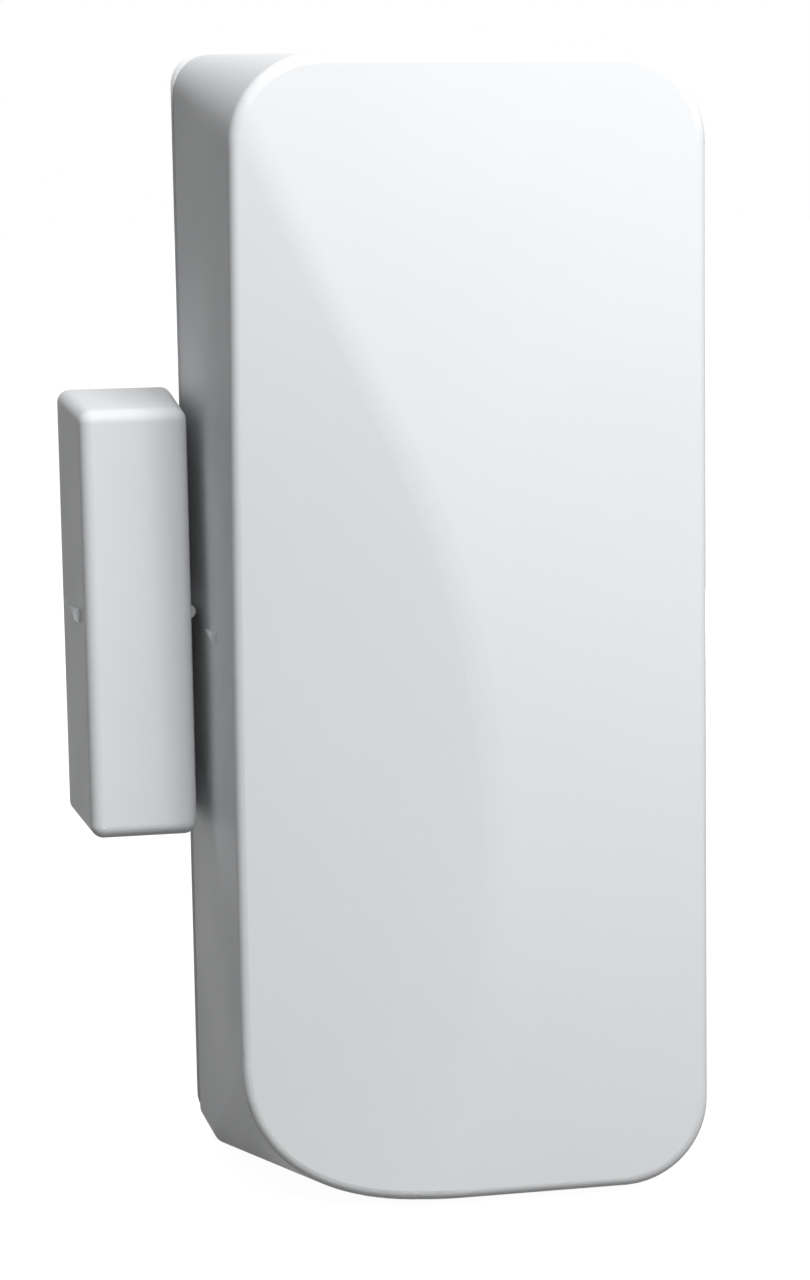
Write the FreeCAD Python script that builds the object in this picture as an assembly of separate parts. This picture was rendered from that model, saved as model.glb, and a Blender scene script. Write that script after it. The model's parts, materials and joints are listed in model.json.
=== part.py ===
import FreeCAD, Part
import math
import os

# Wireless door alarm contact: a wall housing with its circuit board, and the magnet block
# that stands beside it on the door leaf.  Millimetres.
#
# X runs to the right, Z up, and -Y out of the wall.  The origin is the centre of the housing's
# wall face, so each "forward" size below is a distance in front of the wall.

# Housing, outside
HEIGHT = 81.0
WIDTH = 34.6
DEPTH = 26.4
SIDE_INSET = 0.91           # how far the walls lean in, from the base plate to the front
TOP_INSET = 1.15
BOTTOM_INSET = 0.3
BACK_CORNER = 2.4
RIM_CORNER = 2.8            # corner radius of the cover where it meets the base plate
FRONT_CORNER = 6.2
SWEPT_CORNER = 12.1         # the much rounder lower left corner of the front
SWEPT_START = 6.7           # where the cone of that corner has its tip
SWEPT_RIM_CORNER = 1.3
INSIDE_CORNER = 3.4
INSIDE_SWEPT_CORNER = 0.8
POCKET_CORNER = 2.0
FRONT_ROUND = 0.8

# Facet on the left of the front: a slightly hollow surface whose straight lines run down to the
# left from the crease.  Its section is an arc that turns into a straight run towards the top.
FACET_RADIUS = 315.0
FACET_STRAIGHT = 27.8       # from the crease's rightmost place up to where the arc ends
FACET_SLOPE = 0.21          # depth lost per millimetre to the left of the crease
FACET_FALL = 0.30           # how far the facet's lines drop per millimetre to the left
CREASE_X = 1.07             # the crease's rightmost place
CREASE_Z = -14.6
CREASE_ROUND = 9.0

# Base plate
BASE_EDGE = 2.6
BASE_TAPER = 0.3            # what the base plate is narrower at the wall, on each side
FLOOR = 1.6
LIP_HEIGHT = 3.0
LIP_WALL = 1.0
LIP_CLEARANCE = 0.2
SNAP_FORWARD = 4.4          # ridges on the lip, in grooves of the cover
SNAP_Z = 24.0
SNAP_LENGTH = 7.0
SNAP_RADIUS = 0.6
SNAP_RIDGE = 0.16           # how far a ridge stands out of the lip
EDGE_BREAK = 0.25
WALL_SCREW_X = -8.8
WALL_SCREW_END = 10.5       # from the housing's upper and lower end
WALL_SCREW_HOLE = 2.1       # radius
WALL_SCREW_HEAD = 3.6       # radius of the countersink
SCREW_RING_WALL = 0.4
SCREW_RING_GAP = 0.2        # between the ring and the circuit board
STANDOFF_RADIUS = 2.3
STANDOFF_HEIGHT = 1.4
PILOT_RADIUS = 0.8
CABLE_X = -8.2              # knock-out for a cable, with a hole in the circuit board over it
CABLE_Z = -8.6
CABLE_HOLE = 2.2
KNOCKOUT_RADIUS = 2.8
KNOCKOUT_GROOVE = 0.5
KNOCKOUT_DEPTH = 0.8
PRY_SLOT_WIDTH = 8.0
PRY_SLOT_DEPTH = 1.0
PIN_SHORT = 0.15            # the locating pins end this far behind the board's front
PILOT_MORE = 0.3            # what the pilot holes are deeper than the screws

# Cover
COVER_STEP = 0.15           # the cover's rim stands this far inside the base plate's edge
PARTING_GAP = 0.2
COVER_WALL = 1.6
COVER_FRONT = 1.6
STOP_POST_WIDTH = 5.0
STOP_GAP = 0.15             # between the post and the tamper plunger
RIB_WIDTH = 0.9
CELL_RIB_LENGTH = 8.0       # two low ribs that keep the cell in its holder
CELL_RIB_SPACING = 20.0
CELL_RIB_GAP = 0.3

# Alignment marks, half cones on the side walls
MARK_Z = -1.0
MARK_BACK = 11.0
MARK_LENGTH = 5.0
MARK_RADIUS = 0.4
MAGNET_MARK_Z = 0.2
MAGNET_MARK_BACK = 1.0
MAGNET_MARK_LENGTH = 9.0
MAGNET_MARK_RADIUS = 0.5
MARK_TIP = 0.05

# Circuit board
BOARD_THICKNESS = 1.0
BOARD_CLEARANCE = 0.45      # all round, inside the lip
BOARD_CORNER = 2.6
FIXING_RIGHT_X = 11.6
FIXING_LEFT_X = -2.2
FIXING_EDGE = 3.1           # from the circuit board's upper and lower edge
FIXING_HOLE = 1.2
PIN_CLEARANCE = 0.15
HOOK_WIDTH = 4.0
HOOK_BITE = 0.7
HOOK_GAP = 0.1
HOOK_TIP = 0.4
RIGHT_HOOK_Z = 5.8
LEFT_HOOK_Z = -24.6
BOARD_SCREW_HEAD = 2.0
BOARD_SCREW_HEAD_HEIGHT = 1.3
BOARD_SCREW_LENGTH = 2.2
BOARD_SCREW_SLOT = 0.5
THREAD_CLEARANCE = 0.05
ACCESS_CLEARANCE = 0.4      # round the wall screws' heads

# Lithium cell, 17 by 34.5, lying upright in its holder
CELL_RADIUS = 8.5
CELL_LENGTH = 34.5
CELL_EDGE = 0.6
CELL_BUTTON_RADIUS = 3.1
CELL_BUTTON_HEIGHT = 1.2
CELL_GAP = 0.1
HOLDER_WALL = 1.0
HOLDER_FLOOR = 0.6
HOLDER_END = 1.2
HOLDER_CHAMFER = 2.6
HOLDER_CORNER = 1.5
HOLDER_RISE = 2.6           # how far the holder's sides reach past the cell's centre
HOLDER_MARGIN = 0.5         # to the cover's right wall
HOLDER_EDGE = 0.2           # from the circuit board's lower edge
FINGER_NOTCH = 11.0
CONTACT_THICKNESS = 0.4
CONTACT_WIDTH = 6.0
CONTACT_RISE = 4.0          # how far the contacts reach past the cell's centre
SPRING_SPACE = 2.2
CONTACT_BEND = 0.45
CONTACT_STAND = 1.0         # of the spring leaf from the upright leaf
CONTACT_FOOT = 4.0          # how far the spring leaf runs on behind the cell's centre
CONTACT_TOUCH = 0.05
TAIL_REACH = 0.6            # what the tails stand out behind the circuit board
TAIL_CLEARANCE = 0.1

# Reed switch
REED_X = -12.0
REED_GLASS_RADIUS = 1.1
REED_GLASS_WALL = 0.3
REED_GLASS_LENGTH = 13.0
REED_SEAL = 1.4
REED_STANDOFF = 0.3
REED_LEAD_RADIUS = 0.3
REED_LEAD_OUT = 2.0
REED_BEND = 0.7
WIRE_BEND_PIECES = 3        # straight pieces in a bend of round wire
REED_BLADE_WIDTH = 1.0
REED_BLADE_THICKNESS = 0.22
REED_BLADE_LAP = 0.8
REED_CONTACT_GAP = 0.04
REED_ROOT_GAP = 0.1
LEAD_CLEARANCE = 0.05

# Push switches: the tamper switch under the cover's post, and the learn button
SWITCH_SIZE = 6.0
SWITCH_HEIGHT = 3.6
SWITCH_CORNER = 0.5
SWITCH_LID = 0.7
STEM_CLEARANCE = 0.08
FOOT_SIZE = 4.4             # square foot of a plunger, inside the case
FOOT_HEIGHT = 0.8
REST_GAP = 0.05
TAMPER_X = 8.2
TAMPER_UP = 0.69            # shares of the way from the battery holder to the board's upper edge
TAMPER_STEM_RADIUS = 1.6
TAMPER_STEM_LENGTH = 9.5
TAMPER_TRAVEL = 0.8         # the closed cover holds it pressed in by this
LEARN_X = -0.4
LEARN_UP = 0.69
LEARN_STEM_RADIUS = 1.75
LEARN_STEM_LENGTH = 1.4
LEARN_TRAVEL = 0.3

# Radio, processor and the small parts round them
SHIELD_X = 7.2
SHIELD_UP = 0.36
SHIELD_WIDTH = 12.4
SHIELD_HEIGHT = 11.0
SHIELD_DEPTH = 2.6
SHIELD_SHEET = 0.25
SHIELD_CORNER = 0.6
SHIELD_VENT = 0.8
SHIELD_VENT_LENGTH = 7.0
SHIELD_VENT_PITCH = 2.4
CHIP_X = -4.7
CHIP_UP = 0.19
CHIP_SIZE = 7.0
CHIP_THICKNESS = 1.4
CHIP_STANDOFF = 0.1
CHIP_PINS = 6               # on each side
CHIP_PIN_PITCH = 1.0
CHIP_PIN_WIDTH = 0.34
CHIP_PIN_THICKNESS = 0.2
CHIP_PIN_REACH = 1.0
CHIP_NOTCH = 0.4
CRYSTAL_X = -5.4
CRYSTAL_UP = 0.46
CRYSTAL_LENGTH = 10.2
CRYSTAL_WIDTH = 3.8
CRYSTAL_HEIGHT = 3.5
CRYSTAL_FLANGE = 0.35
CRYSTAL_CORNER = 1.8
CAPACITOR_X = -7.75
CAPACITOR_Z = -1.0
CAPACITOR_RADIUS = 2.95
CAPACITOR_HEIGHT = 5.4
CAPACITOR_BASE = 1.0
CAPACITOR_ROUND = 0.4
LED_X = 4.7
LED_EDGE = 2.9              # from the circuit board's upper edge
LED_LENGTH = 3.2
LED_WIDTH = 2.0
LED_BASE = 0.7
LED_DOME = 0.9
LED_ROUND = 0.3
SMALL_LENGTH = 2.0          # the small ceramic parts
SMALL_WIDTH = 1.25
SMALL_HEIGHT = 0.6
SMALL_CAP = 0.4
SMALL_PITCH = 2.3
SMALL_ROW_X = 3.6           # four above the battery holder
SMALL_ROW_UP = 0.085
SMALL_PAIR_X = -9.4         # two above the terminal block
SMALL_PAIR_GAP = 0.8
SMALL_SINGLE_X = 1.4        # one beside the LED

# Terminal block for a second, wired contact; its poles lie side by side
TERMINAL_X = -9.4
TERMINAL_Z = -17.9
TERMINAL_POLES = 2
TERMINAL_PITCH = 3.8
TERMINAL_LENGTH = 7.4       # from the wire entries to the back
TERMINAL_HEIGHT = 8.4
TERMINAL_CHAMFER = 1.6
TERMINAL_WELL = 1.5
TERMINAL_FLOOR = 1.2
CLAMP_SIZE = 2.9
CLAMP_SHEET = 0.4
CLAMP_HEIGHT = 3.6
CLAMP_CLEARANCE = 0.1
WIRE_ENTRY = 2.1
TERMINAL_SCREW_RADIUS = 1.35
TERMINAL_SCREW_HEIGHT = 2.4
TERMINAL_SCREW_SLOT = 0.6
SLOT_DEPTH = 0.6

# Antenna, a stiff wire soldered at both ends
ANTENNA_RADIUS = 0.4
ANTENNA_HEIGHT = 4.6        # in front of the circuit board
ANTENNA_MARGIN = 1.1        # from the circuit board's edge
ANTENNA_RUN = 0.36          # how far the wire runs down each side, as a share of that way
ANTENNA_BEND = 0.9

# Magnet block
MAGNET_GAP = 0.2            # to the housing, at the wall
MAGNET_Z = -0.1
MAGNET_WIDTH = 8.65
MAGNET_HEIGHT = 32.1
MAGNET_DEPTH = 12.8
MAGNET_SIDE_INSET = 0.5
MAGNET_TOP_INSET = 0.8
MAGNET_BOTTOM_INSET = 0.4
MAGNET_ROUND = 0.95
MAGNET_WALL = 1.0
MAGNET_RIM_GAP = 0.2        # the cover's rim stays this far off the wall
MAGNET_BASE_CLEARANCE = 0.12
MAGNET_BASE_THICKNESS = 1.5
MAGNET_SCREW_SPACING = 24.0
MAGNET_SCREW_HOLE = 1.6
MAGNET_SCREW_HEAD = 2.6
BAR_WIDTH = 4.6
BAR_LENGTH = 16.0
BAR_DEPTH = 5.0
BAR_EDGE = 0.3
BAR_GAP = 0.1
BAR_STOP_WALL = 0.6
BAR_STOP_HEIGHT = 3.0

PAST = 1.0                  # how far cutting tools reach past the face that they cut
QUARTER = math.sqrt(0.5)

BOARD_BACK = FLOOR + STANDOFF_HEIGHT
BOARD_FRONT = BOARD_BACK + BOARD_THICKNESS
COVER_RIM = BASE_EDGE + PARTING_GAP
COVER_INSIDE = DEPTH - COVER_FRONT
LIP_TOP = BASE_EDGE + LIP_HEIGHT
LIP_INSET = COVER_WALL + LIP_CLEARANCE
POCKET_INSET = LIP_INSET + LIP_WALL
LEFT, RIGHT = -1, 1


def at(x, forward, z):
    """The point at a distance in front of the wall."""
    return FreeCAD.Vector(x, -forward, z)


AHEAD = at(0, 1, 0)
UP = FreeCAD.Vector(0, 0, 1)


def outline(half_width, half_height, forward, radii, x=0.0, z=0.0):
    """A rounded rectangle parallel to the wall; radii run clockwise from the upper left."""
    arcs = []
    for (side, level), radius in zip(((-1, 1), (1, 1), (1, -1), (-1, -1)), radii):
        centre_x = x + side * (half_width - radius)
        centre_z = z + level * (half_height - radius)
        on_side = at(centre_x + side * radius, forward, centre_z)
        on_level = at(centre_x, forward, centre_z + level * radius)
        middle = at(centre_x + side * radius * QUARTER, forward, centre_z + level * radius * QUARTER)
        first, last = (on_side, on_level) if side * level < 0 else (on_level, on_side)
        arcs.append(Part.Arc(first, middle, last))
    edges = []
    for arc, following in zip(arcs, arcs[1:] + arcs[:1]):
        edges += [arc.toShape(), Part.makeLine(arc.EndPoint, following.StartPoint)]
    return Part.Wire(edges)


def polygon(*points):
    return Part.Face(Part.makePolygon(list(points) + [points[0]]))


def closed_by(faces):
    """The solid inside faces that share their edges."""
    shell = Part.makeCompound(faces)
    shell.sewShape()
    return Part.Solid(Part.Shell(shell.Faces))


def drafted(corners, start, end, inset):
    """The solid with flat leaning sides between two distances from the wall."""
    back, front = corners(start, inset), corners(end, inset)
    sides = [polygon(back[n - 1], back[n], front[n], front[n - 1]) for n in range(len(back))]
    return closed_by([polygon(*back), polygon(*front)] + sides)


def side_edges(solid, number=None):
    """The edges of a drafted solid that run away from the wall, or one of them by its corner's number."""
    edges = [edge for edge in solid.Edges if abs(edge.tangentAt(edge.FirstParameter).y) > 0.9]
    if number is None:
        return edges
    side, level = ((-1, 1), (1, 1), (1, -1), (-1, -1))[number]
    centre = solid.BoundBox.Center
    return [edge for edge in edges if (edge.CenterOfMass.x - centre.x) * side > 0
            and (edge.CenterOfMass.z - centre.z) * level > 0]


def cone_corner(solid, reach, inset, number, tip, growth):
    """Round a corner of the cover by a cone tangent to its walls, whose radius grows from its tip."""
    ring = cover_corners(tip, inset)
    apex = ring[number]
    ridge = (cover_corners(tip + DEPTH, inset)[number] - apex).normalize()
    beside = [ring[number - 1] - apex, ring[(number + 1) % len(ring)] - apex]
    inward = []
    for along, across in (beside, beside[::-1]):
        normal = ridge.cross(along).normalize()
        inward.append(normal if normal.dot(across) > 0 else normal * -1)
    both = inward[0] + inward[1]
    axis = (ridge + both * growth).normalize()
    touching = [axis - normal * axis.dot(normal) for normal in inward]
    spread = (touching[0] - touching[1]) / 3
    length = 2 * DEPTH
    rays = (touching[0] + spread, touching[1] - spread, ridge - both * growth)
    far = [apex + ray * length for ray in rays]
    wedge = closed_by([polygon(apex, far[n - 1], far[n]) for n in range(3)] + [polygon(*far)])
    half_angle = math.asin(axis.dot(inward[0]))
    cone = Part.makeCone(0, length * math.tan(half_angle), length, apex, axis)
    room = block((-HEIGHT, HEIGHT), reach, (-HEIGHT, HEIGHT))
    return solid.cut(wedge).fuse(cone.common(wedge).common(room)).removeSplitter().Solids[0]


def block(x_range, forward_range, z_range):
    """A box given by its two ends along each direction."""
    low = at(x_range[0], forward_range[1], z_range[0])
    size = [abs(end - start) for start, end in (x_range, forward_range, z_range)]
    return Part.makeBox(*size, low)


def about(centre, size):
    """The range of a size centred on a place."""
    return (centre - size / 2, centre + size / 2)


def stud(x, z, radius, start, end):
    """A round bar that points away from the wall."""
    return Part.makeCylinder(radius, end - start, at(x, start, z), AHEAD)


def extrude(points, direction):
    """The prism of a polygon."""
    return Part.Face(Part.makePolygon(points + points[:1])).extrude(direction)


def fuse_all(first, others):
    """One solid from pieces that overlap."""
    shape = first.multiFuse(others)
    return shape.removeSplitter()


def bent_path(points, radius):
    """Straight runs through the points, joined by tangent arcs."""
    edges = []
    start = points[0]
    for before, corner, after in zip(points, points[1:], points[2:]):
        into = (corner - before).normalize()
        out = (after - corner).normalize()
        half_turn = into.getAngle(out) / 2
        reach = radius * math.tan(half_turn)
        first = corner - into * reach
        last = corner + out * reach
        bisector = (out - into).normalize()
        middle = corner + bisector * (radius / math.cos(half_turn) - radius)
        edges += [Part.makeLine(start, first), Part.Arc(first, middle, last).toShape()]
        start = last
    edges.append(Part.makeLine(start, points[-1]))
    return Part.Wire(edges)


def swept(path, profile):
    """A solid of one section along a path."""
    solid = path.makePipeShell([profile], True, False)
    return solid if solid.ShapeType == "Solid" else Part.Solid(solid)


def wire_along(points, radius, bend):
    """Round wire along straight runs; each bend is made of short straight pieces."""
    route = []
    for edge in bent_path(points, bend).Edges:
        pieces = 1 if isinstance(edge.Curve, Part.Line) else WIRE_BEND_PIECES
        route += edge.discretize(pieces + 1)[:-1]
    route.append(points[-1])
    section = Part.Wire(Part.makeCircle(radius, route[0], route[1] - route[0]))
    solid = Part.makePolygon(route).makePipeShell([section], True, False, 1)
    return solid if solid.ShapeType == "Solid" else Part.Solid(solid)


def strip_along(points, width, thickness, bend):
    """Sheet strip in an upright plane, along bent straight runs; its width lies along X."""
    run = (points[1] - points[0]).normalize()
    across = FreeCAD.Vector(1, 0, 0)
    through = run.cross(across)
    corners = [points[0] + across * (a * width / 2) + through * (b * thickness / 2)
               for a, b in ((-1, -1), (1, -1), (1, 1), (-1, 1))]
    return swept(bent_path(points, bend), Part.makePolygon(corners + corners[:1]))


def edges_where(shape, test):
    """The edges whose every sampled point passes a test."""
    found = []
    for edge in shape.Edges:
        first, last = edge.ParameterRange
        samples = [edge.valueAt(first + (last - first) * share) for share in (0.0, 0.3, 0.5, 0.7, 1.0)]
        if all(test(point) for point in samples):
            found.append(edge)
    return found


def near(value, target):
    return abs(value - target) < 1e-4


def from_rim(start, end, forward):
    """A value that runs evenly from the base plate's edge to the front."""
    return start + (end - start) * (forward - BASE_EDGE) / (DEPTH - BASE_EDGE)


def side_at(forward, inset):
    """Half the cover's width at a distance from the wall, less an inset."""
    return WIDTH / 2 - from_rim(COVER_STEP, SIDE_INSET, forward) - inset


def top_at(forward, inset):
    return HEIGHT / 2 - from_rim(COVER_STEP, TOP_INSET, forward) - inset


def bottom_at(forward, inset):
    return from_rim(COVER_STEP, BOTTOM_INSET, forward) + inset - HEIGHT / 2


def corner_points(half_width, top, bottom, forward, x=0.0):
    """The corners of a rectangle parallel to the wall, clockwise from the upper left."""
    return [at(x - half_width, forward, top), at(x + half_width, forward, top),
            at(x + half_width, forward, bottom), at(x - half_width, forward, bottom)]


def cover_corners(forward, inset):
    """The corners of the cover's outline before they are rounded."""
    top, bottom = top_at(forward, inset), bottom_at(forward, inset)
    return corner_points(side_at(forward, inset), top, bottom, forward)


def swept_corner(solid, reach, inset):
    """Round the lower left corner more and more towards the front."""
    growth = SWEPT_CORNER / (DEPTH - SWEPT_START)
    return cone_corner(solid, reach, inset, 3, SWEPT_START + inset / growth, growth)


BOARD_HALF_WIDTH = side_at(BASE_EDGE, POCKET_INSET) - BOARD_CLEARANCE
BOARD_HALF_HEIGHT = top_at(BASE_EDGE, POCKET_INSET) - BOARD_CLEARANCE
CELL_FORWARD = BOARD_FRONT + HOLDER_FLOOR + CELL_GAP + CELL_RADIUS
HOLDER_HALF_WIDTH = CELL_RADIUS + CELL_GAP + HOLDER_WALL
CELL_X = side_at(CELL_FORWARD, COVER_WALL) - HOLDER_MARGIN - HOLDER_HALF_WIDTH
HOLDER_LOW = -BOARD_HALF_HEIGHT + HOLDER_EDGE
CELL_LOW = HOLDER_LOW + HOLDER_END + SPRING_SPACE
CELL_HIGH = CELL_LOW + CELL_LENGTH
HOLDER_HIGH = CELL_HIGH + CONTACT_THICKNESS + HOLDER_END
CELL_MIDDLE = (CELL_LOW + CELL_HIGH) / 2
FREE_HEIGHT = BOARD_HALF_HEIGHT - HOLDER_HIGH
TAMPER_Z, LEARN_Z, SHIELD_Z, CHIP_Z, CRYSTAL_Z, SMALL_ROW_Z = [
    HOLDER_HIGH + share * FREE_HEIGHT
    for share in (TAMPER_UP, LEARN_UP, SHIELD_UP, CHIP_UP, CRYSTAL_UP, SMALL_ROW_UP)]
LED_Z = BOARD_HALF_HEIGHT - LED_EDGE
TAMPER_TIP = BOARD_FRONT + SWITCH_HEIGHT + TAMPER_STEM_LENGTH
CONTACT_ENDS = [CELL_LOW - SPRING_SPACE + CONTACT_THICKNESS / 2, CELL_HIGH + CONTACT_THICKNESS / 2]
REED_FORWARD = BOARD_FRONT + REED_STANDOFF + REED_GLASS_RADIUS
REED_BORE_HALF = REED_GLASS_LENGTH / 2 - REED_SEAL
REED_LEAD_END = REED_GLASS_LENGTH / 2 + REED_LEAD_OUT
TAIL_END = BOARD_BACK - TAIL_REACH
CLAMP_LOW = BOARD_FRONT + TERMINAL_FLOOR
CLAMP_HIGH = CLAMP_LOW + CLAMP_HEIGHT
ANTENNA_SIDE_X = BOARD_HALF_WIDTH - ANTENNA_MARGIN
ANTENNA_TOP = BOARD_HALF_HEIGHT - ANTENNA_MARGIN
ANTENNA_FOOT_Z = ANTENNA_TOP - ANTENNA_RUN * FREE_HEIGHT
MAGNET_X = -(WIDTH / 2 + MAGNET_GAP + MAGNET_WIDTH / 2)
FIXINGS = [(x, level * (BOARD_HALF_HEIGHT - FIXING_EDGE)) for x in (FIXING_LEFT_X, FIXING_RIGHT_X)
           for level in (1, -1)]
WALL_SCREWS = [(WALL_SCREW_X, level * (HEIGHT / 2 - WALL_SCREW_END)) for level in (1, -1)]
POLES = [TERMINAL_X + (n - (TERMINAL_POLES - 1) / 2) * TERMINAL_PITCH for n in range(TERMINAL_POLES)]


def facet_tool(shift):
    """What lies in front of the facet, moved back by a shift."""
    line = FreeCAD.Vector(-1, FACET_SLOPE, -FACET_FALL).normalize()
    vertex = at(CREASE_X, DEPTH - shift, CREASE_Z) - line * WIDTH
    out = line.cross(UP).normalize() * -1
    rise = out.cross(line).normalize()
    if rise.z < 0:
        rise *= -1

    def on_arc(angle):
        return vertex + (out * (1 - math.cos(angle)) + rise * math.sin(angle)) * FACET_RADIUS

    last, first = math.asin(FACET_STRAIGHT / FACET_RADIUS), -math.asin(HEIGHT / FACET_RADIUS)
    joint = on_arc(last)
    top = joint + (out * math.sin(last) + rise * math.cos(last)) * HEIGHT
    low = on_arc(first)
    arc = Part.Arc(low, on_arc((first + last) / 2), joint).toShape()
    runs = Part.makePolygon([joint, top, top + out * WIDTH, low + out * WIDTH, low])
    return Part.Face(Part.Wire([arc] + runs.Edges)).extrude(line * (4 * WIDTH))


def front_slab(shift):
    """Everything behind the front, which is flat right of the crease and slopes left of it."""
    return block((-HEIGHT, HEIGHT), (0, DEPTH - shift), (-HEIGHT, HEIGHT)).cut(facet_tool(shift))


def softened_front():
    slab = front_slab(0)
    crease = edges_where(slab, lambda p: near(p.y, -DEPTH) and abs(p.x) < WIDTH)
    return slab.makeFillet(CREASE_ROUND, crease)


def mark(wall_x, z, back, length, radius):
    """An alignment mark that grows out of a leaning side wall towards the front."""
    start = at(wall_x(back), back, z)
    end = at(wall_x(back + length), back + length, z)
    return Part.makeCone(MARK_TIP, radius, start.distanceToPoint(end), start, end - start)


def cover_outside():
    """Leaning walls with corners that grow rounder towards the front, under the creased front."""
    reach = (COVER_RIM, DEPTH)
    walls = drafted(cover_corners, *reach, 0)
    growth = (FRONT_CORNER - RIM_CORNER) / (DEPTH - BASE_EDGE)
    for number in range(3):
        walls = cone_corner(walls, reach, 0, number, BASE_EDGE - RIM_CORNER / growth, growth)
    walls = swept_corner(walls, reach, 0).common(walls.makeFillet(SWEPT_RIM_CORNER, side_edges(walls, 3)))
    front = softened_front()
    solid = walls.common(front).Solids[0]

    def at_front(point):
        here = Part.Vertex(point)
        return -point.y > DEPTH / 2 and max(shell.distToShape(here)[0] for shell in
                                            (walls.Shells[0], front.Shells[0])) < 1e-3

    return solid.makeFillet(FRONT_ROUND, edges_where(solid, at_front))


def front_cover():
    """Shell that snaps over the base plate, with the post that holds the tamper switch down."""
    reach = (COVER_RIM, COVER_INSIDE)
    hollow = drafted(cover_corners, *reach, COVER_WALL)
    small = hollow.makeFillet(INSIDE_SWEPT_CORNER, side_edges(hollow, 3))
    for number in range(3):
        small = small.makeFillet(INSIDE_CORNER, side_edges(small, number))
    hollow = small.common(swept_corner(hollow, reach, COVER_WALL)).common(front_slab(COVER_FRONT))
    shell = cover_outside().cut(hollow)

    rooted = COVER_INSIDE + COVER_FRONT / 2
    post = (TAMPER_TIP + STOP_GAP, rooted)
    added = [block(about(TAMPER_X, STOP_POST_WIDTH), post, about(TAMPER_Z, RIB_WIDTH)),
             block(about(TAMPER_X, RIB_WIDTH), post, about(TAMPER_Z, STOP_POST_WIDTH))]
    rib = (CELL_FORWARD + CELL_RADIUS + CELL_RIB_GAP, rooted)
    for level in (-1, 1):
        z = CELL_MIDDLE + level * CELL_RIB_SPACING / 2
        added.append(block(about(CELL_X, CELL_RIB_LENGTH), rib, about(z, RIB_WIDTH)))
    added.append(mark(lambda f: -side_at(f, 0), MARK_Z, MARK_BACK, MARK_LENGTH, MARK_RADIUS)
                 .cut(hollow))
    slot_z = (-HEIGHT / 2 - PAST, bottom_at(COVER_RIM, COVER_WALL) + PAST)
    pry_slot = block(about(0, PRY_SLOT_WIDTH), (COVER_RIM - PAST, COVER_RIM + PRY_SLOT_DEPTH), slot_z)
    return fuse_all(shell, added).cut([pry_slot] + snap_bars(LIP_CLEARANCE))


def countersunk(x, z, hole, head, top):
    """The hole for a countersunk screw whose head lies level with a top face."""
    shaft = stud(x, z, hole, -PAST, top + PAST)
    cone = Part.makeCone(hole, head, head - hole, at(x, top - (head - hole), z), AHEAD)
    return [shaft, cone]


def snap_bars(grow):
    """The bars that form the ridges; grown by a clearance they cut the grooves."""
    bars = []
    for side in (LEFT, RIGHT):
        for z in (-SNAP_Z, SNAP_Z):
            x = side * (side_at(SNAP_FORWARD, LIP_INSET) + SNAP_RIDGE - SNAP_RADIUS)
            low, high = about(z, SNAP_LENGTH + 2 * grow)
            bars.append(Part.makeCylinder(SNAP_RADIUS + grow, high - low, at(x, SNAP_FORWARD, low), UP))
    return bars


def hook(side, z):
    """Snap hook on the inside of the lip, over the circuit board's edge."""
    root = side * (side_at(LIP_TOP, POCKET_INSET) + LIP_WALL / 2)
    tip = side * (BOARD_HALF_WIDTH - HOOK_BITE)
    low = BOARD_FRONT + HOOK_GAP
    corners = [(root, low), (tip, low), (tip, low + HOOK_TIP), (root, LIP_TOP)]
    return extrude([at(x, forward, z - HOOK_WIDTH / 2) for x, forward in corners], UP * HOOK_WIDTH)


def plate_corners(forward, inset):
    """The corners of the base plate's outline before they are rounded."""
    narrower = BASE_TAPER * (1 - forward / BASE_EDGE)
    half_height = HEIGHT / 2 - inset
    return corner_points(WIDTH / 2 - narrower - inset, half_height, -half_height, forward)


def base_plate():
    """Wall plate: flat back, lip inside the cover, standoffs, hooks and wall screw holes."""
    plate = drafted(plate_corners, 0, BASE_EDGE, 0)
    plate = plate.makeFillet(BACK_CORNER, side_edges(plate))
    plate = plate.makeChamfer(EDGE_BREAK, edges_where(plate, lambda p: near(p.y, -BASE_EDGE)))
    lip = drafted(cover_corners, FLOOR, LIP_TOP, LIP_INSET)
    lip = lip.makeFillet(INSIDE_CORNER, side_edges(lip))
    pocket = drafted(cover_corners, FLOOR, LIP_TOP, POCKET_INSET)
    pocket = pocket.makeFillet(POCKET_CORNER, side_edges(pocket))
    tray = plate.fuse(lip).cut(pocket)

    ring_top = BOARD_BACK - SCREW_RING_GAP
    rooted = FLOOR / 2
    added = [stud(x, z, WALL_SCREW_HEAD + SCREW_RING_WALL, rooted, ring_top) for x, z in WALL_SCREWS]
    added += [stud(x, z, STANDOFF_RADIUS, rooted, BOARD_BACK) for x, z in FIXINGS]
    added += [stud(x, z, FIXING_HOLE - PIN_CLEARANCE, rooted, BOARD_FRONT - PIN_SHORT)
              for x, z in FIXINGS if z < 0]
    added += [hook(RIGHT, RIGHT_HOOK_Z), hook(LEFT, LEFT_HOOK_Z)] + snap_bars(0)

    removed = []
    for x, z in WALL_SCREWS:
        removed += countersunk(x, z, WALL_SCREW_HOLE, WALL_SCREW_HEAD, ring_top)
    pilot_end = BOARD_FRONT - BOARD_SCREW_LENGTH - PILOT_MORE
    removed += [stud(x, z, PILOT_RADIUS, pilot_end, BOARD_BACK + PAST) for x, z in FIXINGS if z > 0]
    groove = stud(CABLE_X, CABLE_Z, KNOCKOUT_RADIUS + KNOCKOUT_GROOVE, -PAST, KNOCKOUT_DEPTH)
    removed.append(groove.cut(stud(CABLE_X, CABLE_Z, KNOCKOUT_RADIUS, -PAST, KNOCKOUT_DEPTH)))
    return fuse_all(tray, added).cut(removed)


def through_board(x, z, radius):
    return stud(x, z, radius, BOARD_BACK - PAST, BOARD_FRONT + PAST)


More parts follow.
